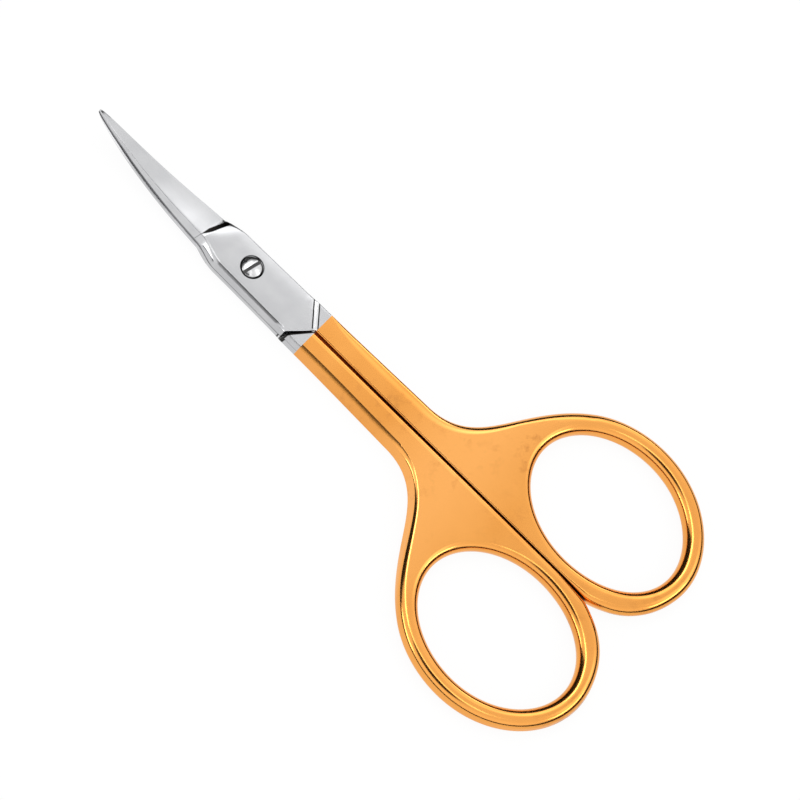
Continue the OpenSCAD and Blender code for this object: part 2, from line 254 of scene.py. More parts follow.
# This near-black is the colour of the painted shade on the steel and on the screw.
SHADE_BLACK = (0.012, 0.011, 0.010, 1)
SPLIT_Y, MIDDLE_Z = 0.25 * MM, 1.2 * MM
HAIR_BLUR, LEG_BLUR, CORNER_BLUR = 0.03 * MM, 0.04 * MM, 0.05 * MM
LEG_SLANT, LEG_AT, LEG_HALF, LEG_CORNER = 0.764, 10.65 * MM, 0.23 * MM, 3.15 * MM
FOOT_SLANT, FOOT_AT, HAIR_HALF = 0.778, 10.169 * MM, 0.10 * MM
BEVEL_TOP, HIGHLIGHT_MIDDLE, HIGHLIGHT_HALF = 0.85 * MM, 0.42 * MM, 0.33 * MM

aside = abs(y - SPLIT_Y)
own_side = below((y - SPLIT_Y) * (z - MIDDLE_Z), 0.0, 0.0000001)
# Painted shade: a dark band along the V's joint leg, and two dark hairlines along the rising leg.
leg_shade = line(x - aside * LEG_SLANT + LEG_AT, LEG_HALF, LEG_BLUR)
past_corner = below(-1 * y, -LEG_CORNER, CORNER_BLUR)
foot = x - aside * FOOT_SLANT + FOOT_AT
hairline_shade = line(foot, HAIR_HALF, HAIR_BLUR) + line(foot + BEVEL_TOP, HAIR_HALF, HAIR_BLUR)
# A painted highlight: the ground bevel between the two hairlines is painted paler.
bevel = own_side * line(foot + HIGHLIGHT_MIDDLE, HIGHLIGHT_HALF, HAIR_BLUR)
joint_shade = leg_shade * (1 - own_side + past_corner) + own_side * hairline_shade
print("the ground bevel is", round(2 * HIGHLIGHT_HALF / MM, 2), "mm wide")

# %% Paint shade into the seam and the screw's hole, and a dark reflection on the step
STEP_SLANT, STEP_AT, STEP_HALF, STEP_BLUR = 0.358, 6.45 * MM, 0.31 * MM, 0.06 * MM
STEP_THIN, THIN_FROM, THIN_TO = 0.30 * MM, 0.3 * MM, 1.6 * MM
SEAM_HALF, SEAM_END, SEAM_FADE, SEAM_SHADE_LEVEL = 0.05 * MM, 4.5 * MM, 0.8 * MM, 0.4
HOLE_DEPTH, HOLE_R, UPPER_HALF, FIRM = 2.18 * MM, 1.45 * MM, 1.5 * MM, 0.02 * MM

from_step = abs(x - y * STEP_SLANT - STEP_AT)
thinner = y.clamped(THIN_FROM, THIN_TO)
on_top = 1 - below(z, UPPER_HALF, FIRM)
# A painted dark reflection: a dark band across the top of the ground step.
step_shade = below(from_step + thinner * STEP_THIN, STEP_HALF, STEP_BLUR) * on_top
# Painted shade: a thin dark line along the seam between the two plates, fading out before the blades.
seam_shade = line(z - MIDDLE_Z, SEAM_HALF, HAIR_BLUR) * below(x, SEAM_END, SEAM_FADE)
# Painted shade: the steel down in the screw's hole is painted dark.
hole_shade = below(z, HOLE_DEPTH, HAIR_BLUR) * below(from_pivot(place), HOLE_R, FIRM)
# All the painted shade is summed and painted over the steel, which carries the painted bevel highlight.
painted_shade = hole_shade + joint_shade + step_shade + seam_shade * SEAM_SHADE_LEVEL
bare = bevel.blend(clouds.clamped(0.35, 0.75).blend(STEEL, STEEL_SHADE), STEEL_HIGHLIGHT)
plug(painted_shade.clamped(0, 1).blend(bare, SHADE_BLACK), shader, "Base Color")
print("steel has", len(steel.node_tree.nodes), "nodes")

# %% [markdown]
# ## Gold plating
# The handles are plated with a warm, orange gold. Plating follows the polished steel under it, so
# it is a clean metal with a soft roughness, very slight waves from hand buffing, and a faint brown
# mottling where the film is a little thicker. The web is painted a little paler, as a painted
# highlight, and the inside of the split between the handles is painted dark, as painted shade.
# Wear would show steel through on the crests, but the photo shows none.

# %% Make the gold
GOLD = (0.905, 0.395, 0.092, 1)
GOLD_DEEP = (0.80, 0.325, 0.066, 1)
GOLD_BROWN = (0.62, 0.25, 0.06, 1)
# The pale web colour is a painted highlight.
GOLD_WEB_HIGHLIGHT = (0.96, 0.435, 0.118, 1)
# The dark inside colour is painted shade for the split.
GOLD_SPLIT_SHADE = (0.15, 0.055, 0.016, 1)
GOLD_ROUGH, MOTTLE_ROUGH, DRIFT_ROUGH, WAVE_DEPTH = 0.11, 0.06, 0.04, 0.08 * MM
DRIFT, MOTTLE, WAVES, SPOT_STRENGTH = 110.0, 700.0, 260.0, 0.9
WEB_FRONT, WEB_BACK = (-24 * MM, -31 * MM), (-42 * MM, -35 * MM)
SPLIT_HALF, SPLIT_BLUR, SPLIT_TOP, TOP_BLUR = 0.14 * MM, 0.03 * MM, 2.32 * MM, 0.04 * MM

gold, shader, place = new_material("gold_plating")
shader.inputs["Metallic"].default_value = 1.0
x, y, z = axes_of(place)
drift = noise(place, DRIFT, 2.0)
mottle = noise(place, MOTTLE, 5.0, Roughness=0.65)
waves = noise(place, WAVES, 1.0)
spots = mottle.clamped(0.52, 0.75) * drift.clamped(0.45, 0.65)
on_web = x.clamped(*WEB_FRONT) * x.clamped(*WEB_BACK)
# The web is painted paler, as a painted highlight.
warm = on_web.blend(drift.clamped(0.35, 0.8).blend(GOLD, GOLD_DEEP), GOLD_WEB_HIGHLIGHT)
# Painted shade: the walls deep in the split between the handles are painted dark.
split_shade = line(y - SPLIT_Y, SPLIT_HALF, SPLIT_BLUR) * below(z, SPLIT_TOP, TOP_BLUR)
spotted = (spots * SPOT_STRENGTH).blend(warm, GOLD_BROWN)
plug(split_shade.blend(spotted, GOLD_SPLIT_SHADE), shader, "Base Color")
plug(GOLD_ROUGH + MOTTLE_ROUGH * mottle + DRIFT_ROUGH * drift, shader, "Roughness")
plug(bump(waves, 0.06, WAVE_DEPTH), shader, "Normal")
print("gold has", len(gold.node_tree.nodes), "nodes")

# %% [markdown]
# ## Screw steel
# The screw is turned on a lathe, so its fine lines are circles about its own axis. They come from
# the distance to the pivot, which is the object's origin. Random grime varies its tone, and painted
# shade darkens everything below the slot's top: the slot and the lower part of the rim.

# %% Make the screw's steel
SCREW_STEEL = (0.72, 0.72, 0.725, 1)
SCREW_SHADE = (0.55, 0.55, 0.56, 1)
TURNED_LINES, TURNED_DEPTH, GRIME = 90000.0, 0.01 * MM, 1500.0
SCREW_ROUGH, GRIME_ROUGH = 0.12, 0.10
SLOT_TOP, SLOT_BLUR, SLOT_SHADE_LEVEL = 2.22 * MM, 0.06 * MM, 0.9

screw_steel, shader, place = new_material("turned_steel")
shader.inputs["Metallic"].default_value = 1.0
radius, height = from_pivot(place), axes_of(place)[2]
rings = radius.maths("SINE", radius * TURNED_LINES)
grime = noise(place, GRIME, 4.0)
bare = grime.clamped(0.4, 0.8).blend(SCREW_STEEL, SCREW_SHADE)
# Painted shade: below the slot's top, the slot and the lower part of the rim are painted dark.
plug((below(height, SLOT_TOP, SLOT_BLUR) * SLOT_SHADE_LEVEL).blend(bare, SHADE_BLACK), shader, "Base Color")
plug(SCREW_ROUGH + GRIME_ROUGH * grime, shader, "Roughness")
plug(bump(rings + grime, 0.1, TURNED_DEPTH), shader, "Normal")
print("screw steel has", len(screw_steel.node_tree.nodes), "nodes")

# %% [markdown]
# ## Curves in millimetres
# The surfaces are built from the same sizes as the measured model, only with finer steps, because
# a mirror shows every facet. These few functions blend numbers. They are the whole toolbox: a
# straight mix, an eased mix, a rounded edge, a ground ridge and a Bezier curve.

# %% Blend numbers
RIDGE_RUN, RIDGE_RISE, RIDGE_TURN = 0.76, 0.9, 0.845


def mix(a, b, t):
    return a + (b - a) * t


def within(t):
    return max(0.0, min(1.0, t))


def ease(t):
    t = within(t)
    return t * t * (3 - 2 * t)


def soft_min(a, b, rounding):
    return (a + b - math.hypot(a - b, rounding)) / 2


def rounded_edge(inset, height, crown, steps):
    """Steps from a side wall to a face, as (inset, height). crown 1 is round and 0 is straight."""
    made = []
    for i in range(steps + 1):
        t = i / steps
        a = t * math.pi / 2
        made.append((inset * mix(t, 1 - math.cos(a), crown), height * mix(t, math.sin(a), crown)))
    return made


def ridge_edge(inset, height, steps):
    """Like rounded_edge, but a straight slope that only rounds over at its top."""
    made = []
    for i in range(steps + 1):
        t = 2 * i / steps
        if t <= 1:
            made.append((RIDGE_RUN * t * inset, RIDGE_RISE * t * height))
        else:
            s, t = 2 - t, t - 1
            run = RIDGE_RUN * s * s + 2 * RIDGE_TURN * s * t + t * t
            made.append((inset * run, height * (RIDGE_RISE * s * s + 2 * s * t + t * t)))
    return made


def bezier(a, b, c, d, t):
    s = 1 - t
    return tuple(
        s * s * s * p + 3 * s * s * t * q + 3 * s * t * t * r + t * t * t * u
        for p, q, r, u in zip(a, b, c, d)
    )


print("half way round an edge:", [round(v, 3) for v in rounded_edge(1, 1, 1, 2)[1]])

# %% [markdown]
# ## The measured sizes
# All of these are in millimetres, from the pivot's axis and from the plane that the scissors lie
# on. The two halves are the same forging, one turned over, so one set of sizes serves both. An
# edge is written as how far it reaches in, how far down, and how round it is. The leans are how far
# a wall tips inwards: upright walls beside a flat mirror throw the camera's own picture back, and
# a wall that leans a little doesn't.

# %% Set the sizes
THICK, SLIDE_GAP, OFFSET = 2.4, 0.08, 0.25
HALF = THICK / 2
FACE = HALF - 0.12
MATE = SLIDE_GAP / 2
CROWN, BUFFED, DRAFT, BACK_IN, WALL_LEAN = 0.05, 0.18, 0.25, 0.35, 0.14

BLADE_LEN, BLADE_START, BLADE_HALF, TIP_HALF = 25.7, 7.0, 2.3, 0.12
EDGE_LAP, TIP_HEIGHT, HOLLOW, BEVEL = 0.4, 0.3, 0.05, 0.1
CURVE_START, CURVE_RADIUS = 10.0, 44.0

JOINT_HALF, PLATING, CORNER = 2.97, 10.7, 8.1
NECK, NECK_LEN, STEP, STEP_LEN = 3.0, 3.4, 5.4, 0.9
SHOULDER_GAP, SLOPE = 0.2, 0.5

SHANK_HALF, ROOT_HALF, ROOT = 3.12, 3.5, 26.0
SPLIT_GAP, RING_GAP = 0.28, 0.12
EDGE_JOINT, EDGE_SOFT, EDGE_RING, EDGE_FLARE = 0.28, 1.5, 1.15, 0.85
PLATE_EDGE, SPLIT_EDGE, SHANK_EDGE, SHANK_LEAN = (0.36, 0.208, 0.05), (0.7, 0.26), (0.5, 0.308), 0.4

HOLE_A, HOLE_B, HOLE_X, HOLE_SIDE, LEAN = 10.675, 8.5, -50.55, 10.57, 0.4
BAND, HEEL = 2.55, 0.42
FLARE = (-35.0, 10.35)
print("from tip to ring:", round(BLADE_LEN - HOLE_X + HOLE_A + BAND, 1), "mm")

# %% [markdown]
# ## From rows of points to a smooth mesh
# A loft is the natural tool for a blade: every cross section has the same number of points, and
# quads join each section to the next. The screw is an outline turned about its axis, as on the
# lathe.

# %% Loft and turn
def loft(rows):
    """Points and faces of a closed skin over sections that all have the same number of points."""
    count = len(rows[0])
    points = [p for row in rows for p in row]
    faces = []
    for r in range(len(rows) - 1):
        for k in range(count):
            n = (k + 1) % count
            a, b = r * count, (r + 1) * count
            faces.append((a + k, b + k, b + n, a + n))
    faces.append(tuple(range(count)))
    faces.append(tuple((len(rows) - 1) * count + k for k in reversed(range(count))))
    return points, faces


def lathe(outline, steps=96):
    """Points and faces of an outline of (radius, height) turned about the pivot's axis."""
    points, faces = [], []
    for i in range(steps):
        a = 2 * math.pi * i / steps
        points += [(r * math.cos(a), r * math.sin(a), h) for r, h in outline]
    count = len(outline)
    for i in range(steps):
        j = (i + 1) % steps
        for k in range(count - 1):
            faces.append((i * count + k, j * count + k, j * count + k + 1, i * count + k + 1))
    faces.append(tuple(i * count for i in reversed(range(steps))))
    faces.append(tuple(i * count + count - 1 for i in range(steps)))
    return points, faces


print("a turned washer has", len(lathe([(1, 0), (2, 0), (2, 1), (1, 1)])[1]), "faces")

# %% [markdown]
# Normals matter more than anything on a mirror. Edges that turn by more than 28 degrees stay sharp,
# and a Weighted Normal modifier lets the big flat faces keep their true direction right up to the
# rounded edges. Holes are cut with an exact Boolean, and the result is kept as the piece's own mesh.

# %% Make pieces and cut them
SHARP_FROM = math.radians(28)


def mesh_from(name, points, faces):
    """A new mesh object from points in millimetres."""
    mesh = bpy.data.meshes.new(name)
    mesh.from_pydata([tuple(c * MM for c in p) for p in points], [], faces)
    made = bpy.data.objects.new(name, mesh)
    bpy.context.collection.objects.link(made)
    return made


def piece_from(name, points, faces, material, body, node, slot_name):
    """A mesh in the frame's place that stands for one node of the measured model."""
    made = mesh_from(name, points, faces)
    made.data.validate()
    made.data.update()
    made.data.materials.append(material)
    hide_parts(node)
    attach(made, body)
    return made


def smooth_normals(made):
    """Smooth shading that keeps sharp edges sharp and flat faces flat."""
    mesh = made.data
    mesh.shade_smooth()
    mesh.set_sharp_from_angle(angle=SHARP_FROM)
    weighted = made.modifiers.new("flat faces stay flat", "WEIGHTED_NORMAL")
    weighted.mode = "FACE_AREA"
    weighted.weight = 90
    weighted.keep_sharp = True


def cut_by(made, tool_points, tool_faces):
    """Cuts a hole with a second closed mesh, and keeps the result as the piece's own mesh."""
    cutter = mesh_from("cutter", tool_points, tool_faces)
    cut = made.modifiers.new("cut", "BOOLEAN")
    cut.operation = "DIFFERENCE"
    cut.solver = "EXACT"
    cut.object = cutter
    graph = bpy.context.evaluated_depsgraph_get()
    result = bpy.data.meshes.new_from_object(made.evaluated_get(graph))
    made.modifiers.remove(cut)
    made.data = result
    bpy.data.objects.remove(cutter)
    return len(result.polygons)


print("edges stay sharp from", round(math.degrees(SHARP_FROM)), "degrees")

# %% [markdown]
# ## The steel half: joint plate, ground step and blade
# Each steel part is one loft from the plating line to the tip. It starts as the full shank, drops
# along a V to half thickness, runs flat through the joint, narrows at the neck, and falls over a
# short ground step to the blade. A section is named from its back to its cutting side. The blades
# bend upwards on a surface that is round about the pivot, so they can still slide on each other.

# %% Set a point on a half
def rise(r):
    """How far the blade has curved up at a distance from the pivot."""
    if r <= CURVE_START:
        return 0.0
    return CURVE_RADIUS - math.sqrt(CURVE_RADIUS ** 2 - (r - CURVE_START) ** 2)


def place_on(side, x, w, h):
    """side 1 is the half with the screw's head. w runs across it, and h up from its mating face."""
    y = OFFSET - side * w
    return (x, y, HALF + rise(math.hypot(x, y)) + side * h)


print("the tip is", round(rise(BLADE_LEN), 2), "mm higher than the plate")

# %% [markdown]
# A section is drawn flat first, as (across, height): up the back wall and over its edge, along the
# slightly crowned top, down the cutting side and back under. Its two sides may sit at different
# places along the scissors, so each point also slides by its share of the way across.

# %% Draw one section
EDGE_STEPS, FACE_STEPS = 8, 11
PLATE_BEND, FACET_BEND, LEAST_SLIDE = 4, 2, 0.02


def between(a, b):
    """The places of the points inside a face, each with its share of the way from a to b."""
    shares = [i / (FACE_STEPS + 1) for i in range(1, FACE_STEPS + 1)]
    return [(t, mix(a, b, t)) for t in shares]


def section(
    side, back, cut, top, cut_top, back_edge, cut_edge, low=MATE, low_edge=0.0,
    relief=0.0, slide=(0, 0), crown=0.0, ridged=0.0, lean=0.0, lean_back=0.0,
):
    """back and cut are (x, across) of the two sides, and slide is (length, share where it starts)."""
    (x_b, w_b), (x_c, w_c) = back, cut
    under_in, bend = min(EDGE_JOINT, (w_c - w_b) / 4), mix(PLATE_BEND, FACET_BEND, ridged)
    top_b = rounded_edge(*back_edge, EDGE_STEPS)
    if ridged:
        ridge = ridge_edge(*back_edge[:2], EDGE_STEPS)
        top_b = [(mix(p[0], q[0], ridged), mix(p[1], q[1], ridged)) for p, q in zip(top_b, ridge)]
    top_c = rounded_edge(*cut_edge, EDGE_STEPS)
    under = rounded_edge(under_in, low_edge, 1, EDGE_STEPS)

    flat = [(w_b + i, low + low_edge - h) for i, h in reversed(under)]
    flat += [(w_b + lean_back + i, top - back_edge[1] + h) for i, h in top_b]
    for t, w in between(w_b + lean_back + back_edge[0], w_c - cut_edge[0]):
        flat.append((w, mix(top, cut_top, t) + crown * (1 - abs(2 * t - 1) ** bend)))
    flat += [(w_c - i, cut_top - cut_edge[1] + h) for i, h in reversed(top_c)]
    flat += [(w_c - lean - i, low + low_edge - h) for i, h in under]
    for t, w in between(w_c - lean - under_in, w_b + under_in):
        flat.append((w, low + relief * math.sin(math.pi * t)))

    made = []
    for w, h in flat:
        t = (w - w_b) / (w_c - w_b)
        x = mix(x_b, x_c, t) + slide[0] * max(LEAST_SLIDE, (t - slide[1]) / (1 - slide[1]))
        made.append(place_on(side, x, w, h))
    return made


print("a section has", len(section(1, (0, -1), (0, 1), 1, 1, (0.1, 0.1, 1), (0.1, 0.1, 1))), "points")

# %% [markdown]
# The stub takes the half from the plating line over the V to the flat plate. Its first rows are the
# whole shank. Then the back side runs out along one leg of the V while the height falls, and from
# the corner on the plate has its chamfered edge above a wall that leans.

# %% Lay the rows of the stub
FALL = SLIDE_GAP / 3


def joint_w(x):
    return mix(JOINT_HALF, SHANK_HALF, -x / PLATING)


def stub_rows(side):
    full, leg = (EDGE_JOINT, EDGE_JOINT, 1), (EDGE_JOINT / 2, EDGE_JOINT / 2, 1)
    apex_x, corner_x, gap_w = -PLATING + EDGE_JOINT / 2, -CORNER, SPLIT_GAP / 2
    wide, low = joint_w(corner_x), FACE - CROWN
    shoulder_x = corner_x - SHOULDER_GAP
    shank = dict(low=-HALF, low_edge=EDGE_JOINT, lean=DRAFT)
    plate = dict(crown=CROWN, lean_back=BACK_IN)

    def leg_w(x):
        return mix(gap_w, -wide, within((x - apex_x) / (corner_x - apex_x)))

    rows = [section(side, (-PLATING, gap_w), (-PLATING, SHANK_HALF), HALF, HALF, full, full, **shank)]
    rows.append(section(side, (apex_x, gap_w), (shoulder_x, wide), HALF, HALF, leg, full, **shank))
    for forward, top in ((FALL, HALF), (SLOPE, FACE)):
        x, cut = apex_x + forward, (shoulder_x + forward, wide)
        rows.append(section(side, (x, leg_w(x)), cut, top, top, leg, full))
    back, cut = (corner_x, -wide), (corner_x + SLOPE, wide)
    rows.append(section(side, back, cut, FACE, FACE, leg, full, lean_back=BACK_IN))
    back, cut = (corner_x + SLOPE, -wide), (corner_x + 2 * SLOPE, wide)
    rows.append(section(side, back, cut, low, low, PLATE_EDGE, full, **plate))
    for x in (corner_x + 3 * SLOPE, corner_x / 2, 0):
        back, cut = (x, -joint_w(x)), (x, joint_w(x))
        rows.append(section(side, back, cut, low, low, PLATE_EDGE, full, **plate))
    return rows


print("rows in a stub:", len(stub_rows(1)))

# %% [markdown]
# The neck turns the plate into the blade: it narrows, its chamfer grows into the blade's back
# facet, and its cutting side is buffed down ahead of the step.

# %% Lay the rows of the neck
RIDGE_SHARE, RIDGE_HIGH, RIDGE_STEEP, RIDGE_FALL = 0.62, 0.62, 0.93, 1.4
TAPER, LAP_NARROW, LAP_BASE = 0.62, 0.46, 0.6
NECK_SOFT, NECK_BUFFED = 0.8 * EDGE_JOINT, (0.5, 0.12, 0.35)


def cut_w(x):
    """How far the cutting edge is from the middle of the blade."""
    share = (BLADE_LEN - x) / (BLADE_LEN - BLADE_START)
    return TIP_HALF + (BLADE_HALF - TIP_HALF) * share ** TAPER


def back_w(x):
    """How far the back is from the middle. It lies inside the other half's cutting edge."""
    cut = cut_w(x)
    return cut - EDGE_LAP * min(1, cut / (LAP_NARROW * BLADE_HALF)) * mix(1, LAP_BASE, cut / BLADE_HALF)


def ridge_w(x):
    return RIDGE_SHARE * back_w(x)


def ridge_h(x):
    return mix(FACE, TIP_HEIGHT, within((x - BLADE_START) / (BLADE_LEN - BLADE_START)) ** RIDGE_FALL)


def neck_rows(side, steps=20):
    rows = []
    for i in range(steps + 1):
        t = i / steps
        ridged, buffed = ease(t), t ** 1.5
        x_b, x_c = mix(NECK, BLADE_START, t), mix(NECK, STEP, t)
        w_b = mix(joint_w(x_b), back_w(x_b), ease((x_b - NECK) / NECK_LEN))
        w_c = mix(joint_w(x_c), cut_w(x_c), ease((x_c - NECK) / NECK_LEN))
        ridge = back_w(x_b) - ridge_w(x_b), RIDGE_HIGH * FACE, 1
        back_edge = tuple(mix(a, b, ridged) for a, b in zip(PLATE_EDGE, ridge))
        cut_edge = tuple(mix(a, b, buffed) for a, b in zip((NECK_SOFT, NECK_SOFT, 1), NECK_BUFFED))
        top = FACE - CROWN * (1 - ridged)
        ridge_lean = WALL_LEAN * (FACE - MATE - back_edge[1])
        rows.append(section(
            side, (x_b, -w_b), (x_c, w_c), top, top - BUFFED * t ** 3, back_edge, cut_edge,
            relief=HOLLOW * ridged, crown=CROWN, ridged=ridged, lean_back=mix(BACK_IN, ridge_lean, ridged),
        ))
    return rows


print("blade width at its base:", round(cut_w(BLADE_START) + back_w(BLADE_START), 2), "mm")

# %% [markdown]
# The blade's rows crowd together towards the tip, where the outline turns fastest. Its back facet
# climbs to the ridge, the main facet falls from there to the thin bevel of the cutting edge, and
# the underside is ground slightly hollow, so that only the edges of the two blades touch.

# %% Lay the rows of the blade
def blade_rows(side, steps=64):
    rows = []
    for i in range(steps + 1):
        t = 1 - (1 - i / steps) ** 1.5
        x_b, x_c = mix(BLADE_START, BLADE_LEN, t), mix(STEP, BLADE_LEN, t)
        slide = STEP_LEN * (1 - t)
        back, cut = back_w(x_b), cut_w(x_c + slide)
        inset = back - ridge_w(x_b)
        high, flank = ridge_h(x_b), 0.5 * ridge_h(x_c + slide)
        bevel = min(BEVEL, cut / 2, (flank - MATE) / 2)
        fade = within(back / EDGE_JOINT / 2)
        back_edge = (inset, min(RIDGE_HIGH * high, RIDGE_STEEP * inset), 1)
        rows.append(section(
            side, (x_b, -back), (x_c, cut), high, flank, back_edge, (bevel, bevel, 0),
            relief=HOLLOW * fade, slide=(slide, inset / (back + cut)),
            crown=CROWN * fade * cut / BLADE_HALF, ridged=1,
            lean_back=WALL_LEAN * (high - MATE - back_edge[1]),
        ))
    return rows


def steel_half(side):
    return loft(stub_rows(side) + neck_rows(side) + blade_rows(side))


print("rows in a steel half:", len(stub_rows(1)) + len(neck_rows(1)) + len(blade_rows(1)))

# %% [markdown]
# ## The screw and its hole
# The screw's head is sunk into the upper plate, with a hair of a gap round it, and that dark ring
# is what the eye reads as a screw. So the hole is cut for real, a little wider than the head.

# %% Make the steel pieces and cut their holes
SCREW_R, HEAD_R, HEAD_WALL, HEAD_CONE = 1.0, 1.3, 0.3, 0.25
TURN_GAP, THREAD_GAP, HEAD_GAP = 0.03, 0.01, 0.2
RIM_TOP = HALF + FACE
CONE_LOW = RIM_TOP - HEAD_WALL - HEAD_CONE
CONE_HIGH = CONE_LOW + HEAD_CONE

upper_steel = piece_from("upper_steel", *steel_half(1), steel, "upper_half", "upper_blade", "steel")
lower_steel = piece_from("lower_steel", *steel_half(-1), steel, "lower_half", "lower_blade", "steel")
sunk_hole = [
    (SCREW_R + TURN_GAP, -THICK),
    (SCREW_R + TURN_GAP, CONE_LOW - TURN_GAP),
    (HEAD_R + HEAD_GAP, CONE_HIGH - TURN_GAP),
    (HEAD_R + HEAD_GAP, 2 * THICK),
]
threaded_hole = [(SCREW_R + THREAD_GAP, -THICK), (SCREW_R + THREAD_GAP, 2 * THICK)]
cuts = [cut_by(upper_steel, *lathe(sunk_hole)), cut_by(lower_steel, *lathe(threaded_hole))]
for made in (upper_steel, lower_steel):
    smooth_normals(made)
print("faces after cutting:", cuts)

# %% [markdown]
# The head is a low dome with a slot across it. It is turned as an outline first, with a small
# rounded rim, and then the slot is cut at the angle that the photo shows.

# %% Turn the screw
DOME, RIM, RIM_STEPS, DOME_STEPS = 0.25, 0.2, 8, 14
END, END_CHAMFER, CENTRE_R = 0.16, 0.12, 0.0005

outline = [(CENTRE_R, END), (SCREW_R - END_CHAMFER, END), (SCREW_R, END + END_CHAMFER)]
outline += [(SCREW_R, CONE_LOW), (HEAD_R, CONE_HIGH), (HEAD_R, RIM_TOP - RIM)]
for i in range(RIM_STEPS + 1):
    a = i / RIM_STEPS * math.radians(70)
    outline.append((HEAD_R - RIM * (1 - math.cos(a)), RIM_TOP - RIM + RIM * math.sin(a)))
rim_r, rim_z = outline[-1]
dome_high = RIM_TOP + DOME - rim_z
dome_r = (rim_r ** 2 + dome_high ** 2) / (2 * dome_high)
for i in range(1, DOME_STEPS + 1):
    r = mix(rim_r, CENTRE_R, i / DOME_STEPS)
    outline.append((r, RIM_TOP + DOME - dome_r + math.sqrt(dome_r ** 2 - r * r)))

screw = piece_from("screw", *lathe(outline), screw_steel, "lower_half", "pivot_screw", "screw_steel")
print("the dome's radius:", round(dome_r, 2), "mm")

# %% Cut the screw's slot
SLOT_HALF, SLOT_REACH, SLOT_DEPTH, SLOT_ANGLE = 0.21, 2, 0.38, math.radians(78)
SQUARE = ((-1, -1), (1, -1), (1, 1), (-1, 1))

c, s = math.cos(SLOT_ANGLE), math.sin(SLOT_ANGLE)
corners = [(a * SLOT_REACH, b * SLOT_HALF) for a, b in SQUARE]
heights = RIM_TOP + DOME - SLOT_DEPTH, THICK * 2
slot = [(a * c - b * s, a * s + b * c, h) for h in heights for a, b in corners]
slot_faces = [(3, 2, 1, 0), (4, 5, 6, 7), (0, 1, 5, 4), (1, 2, 6, 5), (2, 3, 7, 6), (3, 0, 4, 7)]
print("screw faces:", cut_by(screw, slot, slot_faces))
smooth_normals(screw)

# %% [markdown]
# ## The gold handles
# A handle is flat on both faces, with rounded edges. The rounding is slight at the plating line,
# grows along the shank, and becomes a generous quarter ellipse round the finger ring, so the ring
# is smooth to the finger. The outline is one list of points, each with its own rounding: along
# the split, round the ring, over the flare and back up the shank. The hole is nearly an ellipse.
# The band round it is even, with a slightly wider heel, until the split cuts it off.

# %% Trace the ring
RING_STEP, FLARE_STEPS, SOFT_STEPS = 2.5, 18, 8
RING_FROM, RING_TO, RING_LOW = 315, 45, 270
HEEL_AT, FADE = 228, 40
RING_HEIGHT, RING_THIN, RING_LEAN, RIM_LEAN = 0.92 * HALF, 0.15, 0.3, 0.1


def direction(dx, dy):
    long = math.hypot(dx, dy)
    return dx / long, dy / long


def hole_at(a):
    """The point of the hole's rim at a degrees: 0 points to the tips, and 270 to the split."""
    ca, sa = math.cos(math.radians(a)), math.sin(math.radians(a))
    return HOLE_X + HOLE_A * ca, HOLE_SIDE + HOLE_B * sa - LEAN * max(0, -ca) ** 2


def hole_normal(a):
    return direction(math.cos(math.radians(a)) / HOLE_A, math.sin(math.radians(a)) / HOLE_B)


def split_w(x):
    """Half of the gap between the two handles, which narrows towards the rings."""
    return mix(SPLIT_GAP, RING_GAP, within((-PLATING - x) / (-HOLE_X - PLATING))) / 2


def reach(a):
    """How wide the band is at a degrees. Near the split it is cut off, and the corner is softened."""
    band = BAND + HEEL * ease(1 - abs(a - HEEL_AT) / FADE)
    if a <= 180 + RING_STEP:
        return band
    wall = (hole_at(a)[1] - split_w(hole_at(a)[0])) / -hole_normal(a)[1]
    if a >= RING_LOW:
        return wall
    return soft_min(band, wall, RING_GAP * within((RING_LOW - a) / FADE))


def ring_at(a):
    (x, w), (nx, nw) = hole_at(a), hole_normal(a)
    return x + reach(a) * nx, w + reach(a) * nw


def far(a):
    """1 on the side of the ring that is furthest from the split, and 0 on the near half."""
    return max(0.0, math.sin(math.radians(a)))


ring_angles = [RING_FROM - RING_STEP * i for i in range(int((RING_FROM - RING_TO) / RING_STEP) + 1)]
web_angles = [RING_TO * (1 - i / FLARE_STEPS) for i in range(1, 2 * FLARE_STEPS)]
print("the ring's outline starts at", [round(v, 2) for v in ring_at(RING_FROM)])

# %% [markdown]
# Two Bezier curves join the ring to the shank: one leaves the ring along its own direction and
# falls into the waist of the flare, and the other runs from there into the straight shank. The
# rounding changes with them. On the shank the upper edge is soft and wide, while the lower one
# is a narrow chamfer above a wall that leans, which draws the brown band along the shank.

# %% Join the ring to the shank
WAIST_TURN = math.radians(60)
RING_PULL, WAIST_PULL, ROOT_PULL = 3.6 / 10.5, 4 / 11.1, 5 / 11.1
FLARE_HIGH, SOFT_HIGH, CHAMFER_CROWN = 0.9, 0.24, 0.05


def away(point, heading, run):
    return point[0] + heading[0] * run, point[1] + heading[1] * run


flare_dir = (math.cos(WAIST_TURN), -math.sin(WAIST_TURN))
flare_out = ring_at(RING_TO)
turn = (hole_normal(RING_TO)[1], -hole_normal(RING_TO)[0])
outer_run = math.dist(FLARE, flare_out)
root = (-ROOT, ROOT_HALF)
inner_run = math.dist(root, FLARE)

